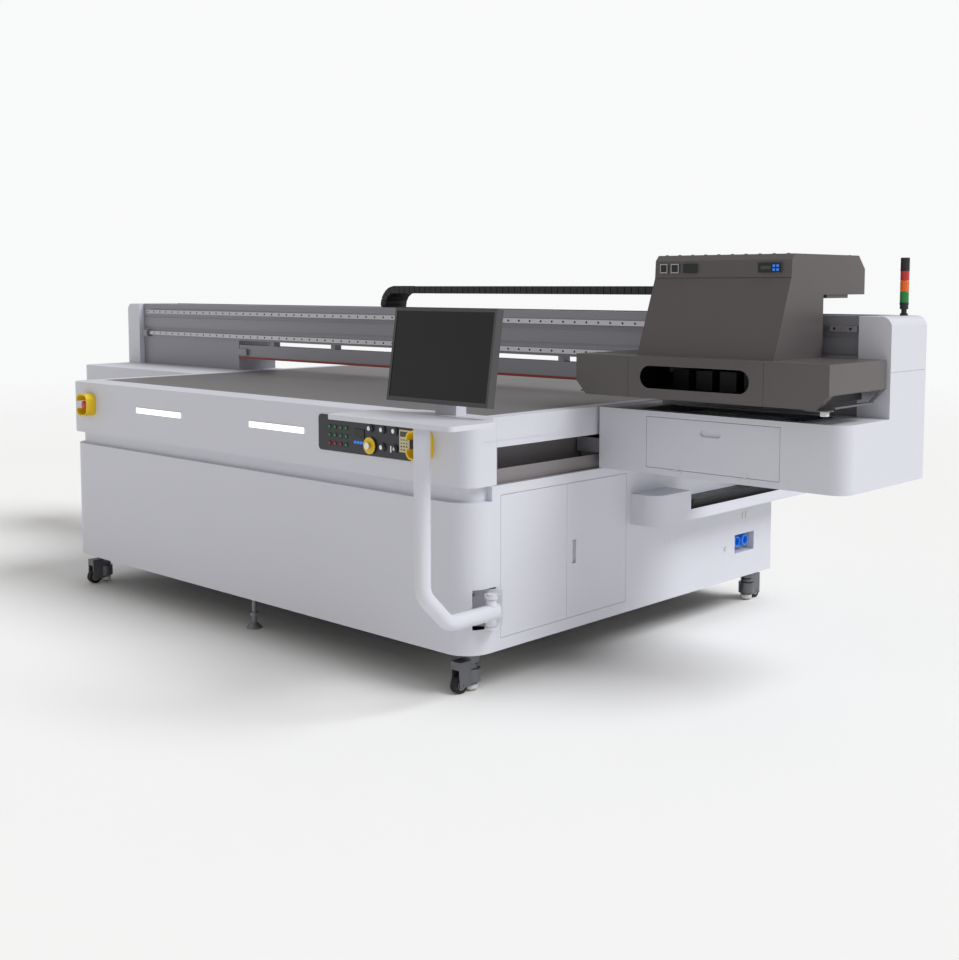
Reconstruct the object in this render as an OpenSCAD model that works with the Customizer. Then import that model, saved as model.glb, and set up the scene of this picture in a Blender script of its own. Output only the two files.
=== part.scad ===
// Large-format flatbed UV printer: a fixed table with a gantry that travels along Y and a
// print carriage that travels along X.
// Every module is drawn from one datum: x = 0 on the base's right side, y = 0 on its front face,
// z = 0 on the floor. at_datum() then carries it to the part's own origin, which is the middle
// of the whole footprint, on the floor.

/* [Base] */
// Width of the base, left side to right side
base_w = 2576; // [2200:8:3200]
// Depth of the base, front face to back face
base_d = 1929; // [1700:1:2400]
// Height of the table's top above the floor
table_h = 950; // [900:1:1150]
// Clear height under the base
ground_gap = 145; // [120:1:175]
// Height of the front fascia, down from the table's top
fascia_h = 231; // [215:1:240]
// Height of the sunk band between the front panel and the fascia
band_h = 53; // [30:1:100]
// Depth of the flat top of the fascia, in front of the table
fascia_d = 139; // [120:1:200]
// Radius of the front panel's upright corners
front_r = 100; // [60:1:115]
// Radius of the fascia's upright corners
fascia_r = 62; // [30:1:110]
// Thickness of the sheet-metal skins
skin = 3; // [2:0.5:4]
// Depth of the front module along the sides
front_d = 119; // [116:1:150]
// From the table's top down to the floor of the side channels that hold the Y rails
channel_drop = 229; // [225:1:235]
// Height of the side channels
channel_h = 126; // [120:1:140]
// Depth of the side channels, inwards
channel_d = 120; // [110:1:160]
// Thickness of the side channels' front ends
channel_end = 3; // [3:1:20]

/* [Cabinet doors] */
// Front edge of the door opening, back from the front module
door_in = 40; // [40:1:60]
// Width of one door opening
door_w = 355; // [250:1:360]
// Lower edge of the doors
door_z = 187; // [180:1:260]
// From the table's top down to the doors' upper edge
door_drop = 267; // [258:1:320]
// Gap round a door
door_gap = 1.5; // [1:0.5:3]
// Thickness of a door
door_t = 20; // [15:1:25]

/* [Gantry] */
// How far the gantry reaches past the base on the right and on the left
reach_right = 994; // [850:1:1200]
reach_left = 1095; // [950:1:1300]
// Gap between the base's side and the gantry's end boxes
side_gap = 14; // [10:1:30]
// Front face and depth of the end boxes
box_y = 681; // [681:1:760]
box_d = 565; // [520:1:640]
// Height of the end boxes
box_h = 225; // [210:1:227]
// Radius of the end boxes' upright outer corner
box_r = 60; // [30:1:80]
// Front face of the end towers
tower_y = 980; // [975:1:1000]
// Width of an end tower
tower_w = 117; // [90:1:150]
// Height of the towers and of the beam's top, above the table
beam_up = 340; // [330:1:350]
// Clear height under the beam, above the table
beam_gap = 155; // [145:1:160]
// Setback of the beam's front face from the towers' front
beam_setback = 30; // [25:1:35]
// Heights of the two X rails' centre lines, above the beam's underside
rail_high_up = 141; // [135:1:145]
rail_low_up = 22; // [17:1:27]
// How far the gantry travels towards the front and towards the back
travel_front = 540; // [300:1:540]
travel_back = 480; // [300:1:480]

/* [Carriage] */
// Width, depth and height of the carriage's lower cover
car_w = 1004; // [900:1:1010]
car_d = 381; // [360:1:381]
car_h = 144; // [130:1:146]
// Underside of the lower cover, above the table
car_gap = 54; // [50:1:62]
// Width of the upper housing
hood_w = 546; // [480:1:600]
// Left end of the upper housing, from the lower cover's left end
hood_x = 225; // [200:1:260]
// Height of the upper housing above the lower cover
hood_h = 350; // [348:1:360]
// Travel of the carriage along the beam
car_travel = 3400; // [2400:1:3400]

/* [Console] */
// Axis of the arm's hinge, out from the side and back from the front
arm_x = 30; // [28:1:34]
arm_y = 80; // [80:1:84]
// Height of the arm's horizontal run
arm_z = 296; // [290:1:300]
// Radius of the arm's tube
arm_r = 27; // [25:0.5:30]
// How far the post stands in front of the base
post_out = 241; // [220:1:280]
// Width, depth and thickness of the shelf
shelf_w = 560; // [450:1:640]
shelf_d = 312; // [280:1:360]
shelf_t = 16; // [12:1:20]
// Height of the shelf's top above the table
shelf_up = 33; // [30:1:60]
// Width and height of the monitor
screen_w = 452; // [400:1:520]
screen_h = 304; // [270:1:320]
// How far the monitor leans back at rest, in degrees
lean = 8.5; // [4:0.5:12]

/* [Casters] */
// Distance of a caster's axis from the base's side, front and back
caster_side = 90; // [80:1:110]
caster_front = 105; // [95:1:130]
caster_back = 49; // [45:1:80]
// Radius of a caster's wheel and how far it trails
wheel_r = 31; // [25:1:34]
wheel_trail = 57; // [55:1:60]

/* [Clearances] */
// Running clearance of a pin in its bore
pin_fit = 0.05; // [0.02:0.01:0.1]
// Gap between sliding parts
slide_gap = 0.4; // [0.3:0.1:1]
// Gap round a push button's stem
button_gap = 0.3; // [0.3:0.1:0.6]

/* [Hidden] */
$fn = 48;
frame_tube = 60;           // square tube of the welded frame
frame_low = ground_gap + skin;
fascia_low = table_h - fascia_h;
panel_top = fascia_low - band_h;
channel_low = table_h - channel_drop;
channel_high = channel_low + channel_h;
channel_y = fascia_d + channel_end;
door_y = front_d + door_in;
door_h = table_h - door_drop - door_z;
box_z = table_h - box_h;
beam_top = table_h + beam_up;
beam_low = table_h + beam_gap;
rail_high_z = beam_low + rail_high_up;
rail_low_z = beam_low + rail_low_up;
car_z = table_h + car_gap;
post_in = channel_d + 12;  // corner posts stand behind the side channels
cap_strip = 23;            // height and depth of the sunk strip along the side caps
cap_step = 1.5;
seam = 0.5;                // gap between two plates that are screwed together
plenum_h = 80;             // depth of the vacuum table with its plenum
door_mid = door_y + door_w;
chain_w = 138;             // X cable chain across its links
chain_h = 34;              // height of one link
chain_r = 95;              // outer radius of its bend
trough_z = beam_low + 95;  // floor of the trough that its lower run lies in
chain_floor = trough_z + slide_gap;
side_chain_r = 33;         // Y cable chain: outer radius of its bend
side_chain_h = 32;
side_chain_x = [10, 86];   // it keeps clear of the round nose of its tray
tray_w = 120;
tray_y = 897;              // front of the cable tray
tray_step = 1125;          // where its outer wall steps down
tray_z = 483;
tray_h = 117;
tray_lip = 42;             // height of its side walls behind the step
tray_back = base_d + 81;
car_clear = 10;            // lower cover to the station's outer face
left_x = -base_w;
box_top = table_h;
box_back = box_y + box_d;
beam_y = tower_y + beam_setback;
beam_left = left_x - reach_left + tower_w;
beam_right = reach_right - tower_w;
beam_wall = 85;            // depth of the beam's front box
trough_y = beam_y + beam_wall;
car_right = reach_right - car_clear;
car_left = car_right - car_w;
car_back = tower_y - 13;
car_front = car_back - car_d;
car_top = car_z + car_h;
hood_l = car_left + hood_x;
hood_r = hood_l + hood_w;
shelf_z = table_h + shelf_up;
shelf_front = -post_out - shelf_d / 2;
shelf_back = shelf_front + shelf_d;
right_x = (base_w + reach_left - reach_right) / 2;
front_y = -(tray_back + shelf_front) / 2;
monitor_t = 30;
tilt_z = shelf_z + 147;    // monitor's tilt axis
tilt_y = shelf_back - 40;
loop_x = hood_l - 1745;    // centre of the X chain's bend
loop_z = chain_floor + chain_r;
chain_top = loop_z + chain_r;
side_loop_y = 1213;        // centre of the Y chain's bend
side_chain_z = tray_z + skin + slide_gap + side_chain_r;
foot_y = 1675;             // front of the bracket that holds the Y chain's moving end
stem = 8;                  // stem radius of the panel's buttons and of the stops
stop_stem = 9;
controls_z = table_h - 124; // lower row of the control panel's switches
switch_x = [-477, -413, -350];
stop_z = table_h - 99;     // centre of the two emergency stops
stop_x = [left_x + 177, -208];

module at_datum() translate([right_x, front_y, 0]) children();

// A block from its lowest corner to its highest corner.
module block(low, high) translate(low) cube(high - low);

// A square steel tube between two corners, open along one axis.
module tube(low, high, axis, wall = 5) {
    lift = [for (i = [0:2]) i == axis ? -1 : wall];
    difference() {
        block(low, high);
        block(low + lift, high - lift);
    }
}

module rod(r, from, to) {
    d = to - from;
    translate(from)
        if (d[0] != 0) rotate([0, 90 * sign(d[0]), 0]) cylinder(r = r, h = abs(d[0]));
        else if (d[1] != 0) rotate([-90 * sign(d[1]), 0, 0]) cylinder(r = r, h = abs(d[1]));
        else translate([0, 0, min(0, d[2])]) cylinder(r = r, h = abs(d[2]));
}

// Mirror a right-hand part onto the left-hand side of the base.
module mirrored() translate([left_x, 0, 0]) mirror([1, 0, 0]) children();

module both_sides() {
    children();
    mirrored() children();
}

// Plan outline of the base's front: straight sides and two round front corners.
module front_plan(inset, depth, r) {
    ri = r - inset;
    w = base_w - 2 * inset;
    intersection() {
        union() {
            translate([left_x + inset, inset + ri]) square([w, depth]);
            translate([left_x + inset + ri, inset]) square([w - 2 * ri, depth]);
            for (x = [left_x + inset + ri, -inset - ri])
                translate([x, inset + ri]) circle(r = ri);
        }
        translate([left_x, 0]) square([base_w, depth]);
    }
}

// A wall of the skin's thickness that follows that outline, from one height to another.
module front_wall(inset, depth, r, low, high)
    translate([0, 0, low]) linear_extrude(high - low) difference() {
        front_plan(inset, depth, r);
        front_plan(inset + skin, depth + 1, r);
    }

module front_shelf(inner, outer, depth, r, low, high)
    translate([0, 0, low]) linear_extrude(high - low) difference() {
        front_plan(outer, depth, r);
        front_plan(inner, depth + 1, r);
    }

// The pocket in the right front corner that clears the arm's hinge.
module hinge_pocket() block([arm_x - 102, arm_y - 40, arm_z - 63], [1, arm_y + 56, arm_z + 74]);

module base_frame() {
    beam = frame_tube;
    top = channel_low - skin;
    x0 = left_x + door_t + 6;
    x1 = -door_t - 6;
    y1 = base_d - 12;
    low = frame_low;
    at_datum() color("dimgray") {
        difference() {
            union() {
                // bottom grid
                for (y = [front_d + 4, door_mid - beam / 2, base_d / 2, y1 - beam])
                    tube([x0, y, low], [x1, y + beam, low + beam], 0);
                for (x = [x0, left_x / 2 - beam / 2, x1 - beam])
                    tube([x, 60, low], [x + beam, y1, low + beam], 1);
                // posts and upper grid
                for (x = [left_x + post_in, left_x / 2 - beam / 2, -post_in - beam],
                     y = [front_d + 4, y1 - beam])
                    tube([x, y, low], [x + beam, y + beam, top], 2);
                for (x = [left_x + post_in, left_x / 2 - beam / 2, -post_in - beam])
                    tube([x, front_d + 4, top - beam], [x + beam, y1, top], 1);
                for (y = [front_d + 4, base_d / 2, y1 - beam])
                    tube([x0, y, top - beam], [x1, y + beam, top], 0);
                // short posts under the table
                for (x = [left_x + post_in, left_x / 2 - beam / 2, -post_in - beam],
                     y = [300, base_d / 2, base_d - 260])
                    tube([x, y, top - beam], [x + beam, y + beam, table_h - plenum_h], 2);
            }
            hinge_pocket();
        }
        // caster plates under the bottom ring, and a levelling foot at the middle of each end
        for (x = [left_x + caster_side, -caster_side],
             y = [caster_front, base_d - caster_back])
            difference() {
                block([x - 37, y - 37, ground_gap - 6], [x + 37, y + 37, low]);
                translate([x, y, 0]) cylinder(r = 8 + pin_fit, h = low + 1);
            }
        for (y = [79, base_d - 79]) translate([left_x / 2, y, 0]) {
            cylinder(r1 = 32, r2 = 14, h = 22);
            cylinder(r = 9, h = low);
            translate([0, 0, 52]) cylinder(r = 17, h = 14, $fn = 6);
            translate([0, 0, ground_gap - 12]) cylinder(r = 17, h = 12, $fn = 6);
        }
    }
}

module front_panel() {
    groove = 24;
    at_datum() color("lightsteelblue") difference() {
        union() {
            front_wall(0, front_d, front_r, ground_gap, panel_top);
            front_wall(groove, front_d, front_r, panel_top - skin, fascia_low);
            front_shelf(groove + skin, 0, front_d, front_r, panel_top - skin, panel_top);
            front_shelf(groove + skin, 0, front_d, front_r, ground_gap, ground_gap + skin);
            // closes the groove's two ends, beside the side skins
            both_sides() block([-groove - skin, front_d - skin, panel_top - skin],
                [-0.5, front_d, fascia_low]);
        }
        hinge_pocket();
    }
}

module front_fascia() {
    at_datum() color("lightsteelblue") difference() {
        union() {
            front_wall(0, fascia_d, fascia_r, fascia_low, table_h);
            translate([0, 0, table_h - skin]) linear_extrude(skin)
                front_plan(0, fascia_d, fascia_r);
            translate([0, 0, fascia_low]) linear_extrude(skin)
                front_plan(0, fascia_d, fascia_r);
        }
        // the side caps' sunk strip carries on round the fascia's sides
        both_sides() block([-cap_step, fascia_r + 6, channel_high - 1],
            [1, fascia_d + 1, channel_high + cap_strip]);
        // clearance for the stems of the stops and the switches
        for (x = stop_x) rod(stop_stem + button_gap, [x, -1, stop_z], [x, skin + 1, stop_z]);
        for (x = switch_x, z = [controls_z, controls_z + 62])
            rod(stem + button_gap, [x, -1, z], [x, skin + 1, z]);
    }
}

// One lower side skin: a plain sheet with an inturned lower edge.
module side_skin() {
    block([-skin, front_d, ground_gap], [0, base_d - skin, channel_low - skin - 0.5]);
    block([-40, front_d, ground_gap], [0, base_d - skin, ground_gap + skin]);
}

module side_panels() {
    at_datum() color("gainsboro") {
        difference() {
            side_skin();
            hinge_pocket();
            block([-10, door_y, door_z], [1, door_y + 2 * door_w, door_z + door_h]);
            block([-50, socket_y, socket_z], [1, socket_y + 152, socket_z + 80]);
        }
        mirrored() side_skin();
    }
}

module rear_panel() at_datum() color("gainsboro")
    difference() {
        union() {
            block([left_x, base_d - skin, ground_gap], [0, base_d, channel_low - skin - 0.5]);
            block([left_x + channel_d + 4, base_d - skin, channel_low - skin - 0.5],
                [-channel_d - 4, base_d, table_h - 90]);
        }
        // ventilation slots in front of the blower
        for (i = [0:9]) block([left_x / 2 - 300 + i * 62, base_d - 10, 260],
            [left_x / 2 - 260 + i * 62, base_d + 1, 272]);
    }

// The covers above the side channels, beside the table.
module side_caps() at_datum() color("lightsteelblue") both_sides() difference() {
    block([-60, fascia_d + 0.5, channel_high], [0, base_d, table_h]);
    block([-60 + skin, fascia_d - 1, channel_high + skin], [-skin, base_d + 1, table_h - skin]);
    block([-cap_step, fascia_d - 1, channel_high - 1], [1, base_d + 1, channel_high + cap_strip]);
}

module vacuum_table() at_datum() color("dimgray") {
    x0 = left_x + 60.5;
    x1 = -60.5;
    inner = channel_d - 49;     // the plenum hangs between the two channels
    block([x0, fascia_d + 0.5, table_h - 25], [x1, base_d, table_h]);
    difference() {
        block([x0 + inner, fascia_d + 40, table_h - plenum_h],
            [x1 - inner, base_d - 60, table_h - 25]);
        for (i = [0:3]) {
            cell = (x1 - x0 - 2 * inner - 5 * 6) / 4;
            a = x0 + inner + 6 + i * (cell + 6);
            block([a, fascia_d + 46, table_h - 74], [a + cell, base_d - 66, table_h - 25.5]);
            translate([a + cell / 2, base_d / 2 + 120, table_h - 81]) cylinder(r = 30, h = 8);
        }
    }
}

// Steel channels let into both sides, one for each Y rail: floor, back wall, ceiling, front end
// and a low apron that hides the rail.
module rail_channels() at_datum() color("gray") both_sides() {
    back = -channel_d - skin;
    start = channel_y + seam;
    block([-channel_d + seam, start, channel_low - skin], [0, base_d, channel_low]);
    block([back, start, channel_low - skin], [-channel_d, base_d, channel_high + skin]);
    block([-channel_d + seam, start, channel_high], [-60.5, base_d, channel_high + skin]);
    block([back, fascia_d + seam, channel_low - skin], [0, channel_y, channel_high - seam]);
    block([-apron_in - skin, start, channel_low + seam], [-apron_in, base_d, channel_low + apron_h]);
}

apron_in = 17;              // the channels' aprons: how far in, and how high
apron_h = 49;
rail_x = -70;               // centre line of the Y rail
rail_w = 28;
rail_h = 26;
module y_rails() at_datum() color("silver") both_sides() {
    block([rail_x - 34, channel_y + 4, channel_low], [rail_x + 34, base_d - 4, channel_low + 6]);
    block([rail_x - rail_w / 2, channel_y + 10, channel_low + 6],
        [rail_x + rail_w / 2, base_d - 10, channel_low + 6 + rail_h]);
}

module vacuum_blower() at_datum() color("slategray") translate([left_x / 2, base_d - 330, frame_low + frame_tube]) {
    block([-150, -150, 0], [150, 150, 14]);
    for (x = [-110, 70]) block([x, -90, 14], [x + 40, 90, 60]);
    rod(110, [-90, 0, 150], [70, 0, 150]);
    rod(80, [70, 0, 150], [260, 0, 150]);
    rod(84, [260, 0, 150], [280, 0, 150]);
    rod(32, [-40, 0, 150], [-40, 0, 360]);
    rod(24, [-60, 60, 150], [-60, 160, 150]);
}

module electrical_cabinet() at_datum() color("silver")
    translate([-640, door_mid + 20, frame_low + frame_tube]) {
        difference() {
            block([0, 0, 0], [200, 310, 420]);
            block([20, 10, 10], [201, 300, 410]);
        }
        for (z = [30, 160, 290], y = [24, 120, 216])
            block([20, y, z], [110, y + 70, z + 100]);
    }

// Six ink tanks in two rows on one tray, behind the front door.
module ink_tanks() at_datum() color("whitesmoke") {
    z = frame_low + frame_tube;
    block([-430, door_y + 28, z], [-door_t - 6, door_mid - 4, z + 6]);
    for (i = [0:5]) {
        y = door_y + 36 + (i % 3) * 100;
        x = -420 + 140 * floor(i / 3);
        block([x, y, z + 6], [x + 125, y + 86, z + 220]);
        translate([x + 62, y + 43, z + 220]) cylinder(r = 24, h = 22);
    }
}

socket_y = 1635;
socket_z = 254;
module power_sockets() at_datum() color("dodgerblue") {
    depth = 55;
    difference() {
        block([-depth - 3, socket_y - 3, socket_z - 3], [-skin, socket_y + 155, socket_z + 83]);
        block([-depth, socket_y, socket_z], [1, socket_y + 152, socket_z + 80]);
    }
    for (y = [socket_y + 44, socket_y + 106]) {
        rod(24, [-depth, y, socket_z + 44], [-14, y, socket_z + 44]);
        rod(29, [-34, y, socket_z + 44], [-24, y, socket_z + 44]);
    }
}

// A long shallow channel on the right side that the Y cable chain lies in.
module tray_plan(inset) {
    r = 65 - inset;
    x1 = tray_w - inset;
    y0 = tray_y + inset;
    translate([inset, y0]) square([x1 - r - inset, tray_back - y0]);
    translate([inset, y0 + r]) square([x1 - inset, tray_back - y0 - r]);
    intersection() {
        translate([x1 - r, y0 + r]) circle(r = r);
        translate([inset, y0]) square([x1 - inset, 2 * r]);
    }
}
module cable_tray() at_datum() color("gainsboro") difference() {
    translate([0, 0, tray_z]) linear_extrude(tray_h) tray_plan(0);
    translate([0, 0, tray_z + skin]) linear_extrude(tray_h - 2 * skin) tray_plan(skin);
    // behind the closed nose the channel is open upwards
    block([skin, tray_step, tray_z + skin], [tray_w - skin, tray_back + 1, tray_z + tray_h + 1]);
    block([-1, tray_step, tray_z + tray_lip], [tray_w + 1, tray_back + 1, tray_z + tray_h + 1]);
}

module front_lamps() at_datum() color("white") {
    // two light bars in the fascia, then the control panel's lamps, display and keypad
    z0 = controls_z;
    for (x = [left_x + 567, left_x + 1383])
        block([x, -4, z0 + 12], [x + 338, 0, z0 + 36]);
    for (i = [0:3], z = [-8, 23, 53])
        translate([-700 + i * 30.7, 0, z0 + z]) rod(4.5, [0, -3, 0], [0, -6, 0]);
    block([-560, -6, z0 + 21], [-510, -3, z0 + 55]);
    for (i = [0:3]) block([-566 + i * 16.5, -5, z0 + 1], [-553 + i * 16.5, -3, z0 + 11]);
    block([-324, -9, z0 - 9], [-273, -3, z0 + 70]);
}

panel_x = [-766, -262];
panel_z = [controls_z - 37, controls_z + 95];
module control_panel() {
    r = 15;
    w = panel_x[1] - panel_x[0];
    h = panel_z[1] - panel_z[0];
    at_datum() color([0.2, 0.2, 0.22]) {
        difference() {
            translate([panel_x[0], 0, panel_z[0]]) rotate([90, 0, 0]) linear_extrude(3) union() {
                translate([r, 0]) square([w - 2 * r, h]);
                translate([0, r]) square([w, h - 2 * r]);
                for (x = [r, w - r], z = [r, h - r]) translate([x, z]) circle(r = r);
            }
            for (x = switch_x, z = [controls_z, controls_z + 62])
                rod(stem + button_gap, [x, 1, z], [x, -12, z]);
        }
        for (x = switch_x, z = [controls_z, controls_z + 62]) difference() {
            rod(15, [x, -3, z], [x, -9, z]);
            rod(stem + button_gap, [x, 1, z], [x, -12, z]);
        }
    }
}

// Outline of an emergency stop's shroud: an upright block with well rounded corners.
module guard_plan(inset) {
    a = 46 - inset;
    b = 51 - inset;
    r = 30 - inset;
    translate([-a, r - b]) square([2 * a, 2 * (b - r)]);
    translate([r - a, -b]) square([2 * (a - r), 2 * b]);
    for (x = [r - a, a - r], z = [r - b, b - r]) translate([x, z]) circle(r = r);
}

// Shrouds round the two emergency stops, open on their left side, and the panel stop's disc.
module stop_guards() at_datum() color("gold") {
    for (x = stop_x) translate([x, 0, stop_z]) difference() {
        along_y(-45, 0) guard_plan(0);
        along_y(-46, -3) guard_plan(7);
        rod(stop_stem + button_gap, [0, 1, 0], [0, -10, 0]);
        block([-60, -46, -17], [0, -3, 17]);
    }
    translate([switch_x[0], 0, controls_z]) difference() {
        rod(30, [0, -9, 0], [0, -12, 0]);
        rod(stem + button_gap, [0, 1, 0], [0, -13, 0]);
    }
}

module stop_button(x) at_datum() color("red") translate([x, 0, stop_z]) {
    rod(stop_stem, [0, 8, 0], [0, -26, 0]);
    rod(19, [0, -26, 0], [0, -38, 0]);
}
module stop_button_right() stop_button(stop_x[1]);
module stop_button_left() stop_button(stop_x[0]);

module push_button(x, z) at_datum() color("silver") translate([x, 0, z]) {
    rod(stem, [0, 8, 0], [0, -14, 0]);
    rod(6.5, [0, -14, 0], [0, -15, 0]);
}
module push_button_1() push_button(switch_x[0], controls_z + 62);
module push_button_2() push_button(switch_x[1], controls_z + 62);
module push_button_3() push_button(switch_x[2], controls_z + 62);
module push_button_4() push_button(switch_x[1], controls_z);
module panel_stop_button() at_datum() color("silver") translate([switch_x[0], 0, controls_z]) {
    rod(stem, [0, 8, 0], [0, -18, 0]);
    rod(12, [0, -18, 0], [0, -24, 0]);
}
module key_switch() at_datum() color("silver") translate([switch_x[2], 0, controls_z]) {
    rod(stem, [0, 8, 0], [0, -14, 0]);
    block([-3, -24, -11], [3, -14, 11]);
}

// Arm hinge: plate set at 45 degrees in the corner pocket, two lugs and a fixed pin.
lug_gap = 48;
module arm_bracket() at_datum() color("lightgray") translate([arm_x, arm_y, 0]) {
    rotate([0, 0, -45]) {
        difference() {
            block([-58, -68, arm_z - 60], [-52, 40, arm_z + 68]);
            for (y = [-58, 30], z = [arm_z - 40, arm_z + 48])
                rod(4, [-60, y, z], [-50, y, z]);
        }
        block([-112, -56, arm_z - 60], [-58, -6, arm_z + 68]);
        for (z = [arm_z - lug_gap - 8, arm_z + lug_gap]) {
            block([-52, -22, z], [0, 22, z + 8]);
            translate([0, 0, z]) cylinder(r = 22, h = 8);
        }
    }
    // tie to the frame's corner post
    block([-post_in - arm_x, front_d + 4 - arm_y, arm_z - 56],
        [-60 - arm_x, front_d + 31 - arm_y, arm_z + 64]);
    translate([0, 0, arm_z - lug_gap - 14]) cylinder(r = 10, h = 2 * lug_gap + 28);
    translate([0, 0, arm_z + lug_gap + 8]) cylinder(r = 14, h = 8);
}

// Bent tube: a level run from the hinge, a slanting stretch and the upright post. A slightly
// fatter ball closes each of the two bends.
knee = 116;                 // rise, and reach, of the slanting stretch
module arm_run() {
    ball = arm_r + 1;
    translate([arm_x, 0, 0]) {
        rod(arm_r, [0, arm_y + 60, arm_z], [0, knee - post_out, arm_z]);
        translate([0, knee - post_out, arm_z]) {
            sphere(r = ball);
            rotate([45, 0, 0]) cylinder(r = arm_r, h = knee * sqrt(2));
        }
        translate([0, -post_out, arm_z + knee]) sphere(r = ball);
        rod(arm_r, [0, -post_out, arm_z + knee], [0, -post_out, shelf_z - shelf_t]);
    }
}
module console_arm() at_datum() color("lavender") difference() {
    union() {
        arm_run();
        // sleeve between the two lugs
        translate([arm_x, arm_y, arm_z - lug_gap + slide_gap])
            cylinder(r = 19, h = 2 * (lug_gap - slide_gap));
    }
    // the post is hollow from its elbow up to the shelf
    rod(arm_r - 4, [arm_x, -post_out, arm_z + knee + 60], [arm_x, -post_out, shelf_z]);
    // the inner end is turned to a radius about the hinge pin
    difference() {
        block([arm_x - 60, arm_y, arm_z - 60], [arm_x + 60, arm_y + 70, arm_z + 60]);
        translate([arm_x, arm_y, arm_z - 70]) cylinder(r = 34, h = 140);
    }
    translate([arm_x, arm_y, arm_z - 60]) cylinder(r = 10 + pin_fit, h = 120);
}

module console_shelf() at_datum() color("lavender") {
    w = shelf_w / 2;
    cut = [120, 128];
    translate([arm_x, 0, shelf_z - shelf_t]) linear_extrude(shelf_t) difference() {
        polygon([[-w, shelf_front], [w, shelf_front], [w, shelf_back - cut[1]],
            [w - cut[0], shelf_back], [cut[0] - w, shelf_back], [-w, shelf_back - cut[1]]]);
        for (s = [-1, 1]) translate([s * w, shelf_front]) corner_cut(18, s);
    }
    // monitor stand: an upright block and two hinge cheeks
    stand_h = 127;
    translate([arm_x + 12, 0, 0]) difference() {
        union() {
            block([-47, shelf_back - 62, shelf_z], [47, shelf_back - 16, shelf_z + stand_h]);
            for (x = [-34, 20])
                block([x, tilt_y - 12, shelf_z + stand_h], [x + 14, shelf_back - 16, tilt_z + 18]);
        }
        rod(7 + pin_fit, [-60, tilt_y, tilt_z], [60, tilt_y, tilt_z]);
    }
}

// What rounding a front corner of a plate takes away; side is 1 on the right, -1 on the left.
module corner_cut(r, side) difference() {
    translate([side > 0 ? -r : -1, -1]) square(r + 1);
    translate([-side * r, r]) circle(r = r);
}

// Carry a child from the monitor's upright frame to where it leans on its tilt axis.
module leaning() translate([arm_x + 12, tilt_y, tilt_z]) rotate([-lean, 0, 0]) children();
monitor_drop = 119;         // from the tilt axis down to the monitor's lower edge
monitor_face = -53;         // from the tilt axis forward to the monitor's front
module monitor() at_datum() color([0.3, 0.3, 0.3]) leaning() {
    difference() {
        block([-screen_w / 2, monitor_face, -monitor_drop],
            [screen_w / 2, monitor_face + monitor_t, screen_h - monitor_drop]);
        block([-screen_w / 2 + 9, monitor_face - 1, -monitor_drop + 14],
            [screen_w / 2 - 9, monitor_face + 6, screen_h - monitor_drop - 10]);
    }
    block([-18, monitor_face + monitor_t, -14], [18, 0, 14]);
    rod(7, [-40, 0, 0], [40, 0, 0]);
}
module monitor_glass() at_datum() color([0.1, 0.1, 0.1]) leaning()
    block([-screen_w / 2 + 9, monitor_face + 2, -monitor_drop + 14],
        [screen_w / 2 - 9, monitor_face + 6, screen_h - monitor_drop - 10]);

// Levelling caster at x, y: swivelling housing with a foot pad, wheel trailing along y.
cheek = 17;
module caster(x, y, s) at_datum() color("dimgray") translate([x, y, 0]) {
    top = ground_gap - 6 - slide_gap;
    difference() {
        union() {
            translate([0, 0, top - 12]) cylinder(r = 30, h = 12);
            cylinder(r = stem, h = ground_gap + 2);
            translate([0, 0, 32]) cylinder(r = 34, h = 46);
            for (a = [-cheek - 6, cheek]) block_y([a, 0, 22], [a + 6, wheel_trail + 18, 112], s);
            block_y([-cheek - 6, 26, 84], [cheek + 6, wheel_trail + 18, 112], s);
            translate([0, 0, 100]) cylinder(r = 30, h = top - 110);
        }
        block_y([-cheek, 20, 0], [cheek, 200, 84], s);
    }
    rod(4, [-cheek - 8, s * wheel_trail, wheel_r], [cheek + 8, s * wheel_trail, wheel_r]);
    translate([0, 0, 6]) cylinder(r = wheel_trail - wheel_r - 1.5, h = 20);
    translate([0, 0, 26]) cylinder(r = 8, h = 8);
    translate([0, 0, 80]) cylinder(r = 25, h = 14, $fn = 12);
}
module block_y(low, high, s) {
    a = s > 0 ? [low[1], high[1]] : [-high[1], -low[1]];
    block([low[0], a[0], low[2]], [high[0], a[1], high[2]]);
}
module wheel(x, y, s) at_datum() color([0.15, 0.15, 0.15]) difference() {
    union() {
        rod(wheel_r, [x - 13, y + s * wheel_trail, wheel_r], [x + 13, y + s * wheel_trail, wheel_r]);
        rod(13, [x - 16, y + s * wheel_trail, wheel_r], [x + 16, y + s * wheel_trail, wheel_r]);
    }
    rod(4 + pin_fit, [x - 20, y + s * wheel_trail, wheel_r], [x + 20, y + s * wheel_trail, wheel_r]);
}
caster_l = left_x + caster_side;
caster_r = -caster_side;
caster_b = base_d - caster_back;
module caster_front_right() caster(caster_r, caster_front, -1);
module caster_front_left() caster(caster_l, caster_front, -1);
module caster_rear_right() caster(caster_r, caster_b, 1);
module caster_rear_left() caster(caster_l, caster_b, 1);
module wheel_front_right() wheel(caster_r, caster_front, -1);
module wheel_front_left() wheel(caster_l, caster_front, -1);
module wheel_rear_right() wheel(caster_r, caster_b, 1);
module wheel_rear_left() wheel(caster_l, caster_b, 1);

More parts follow.
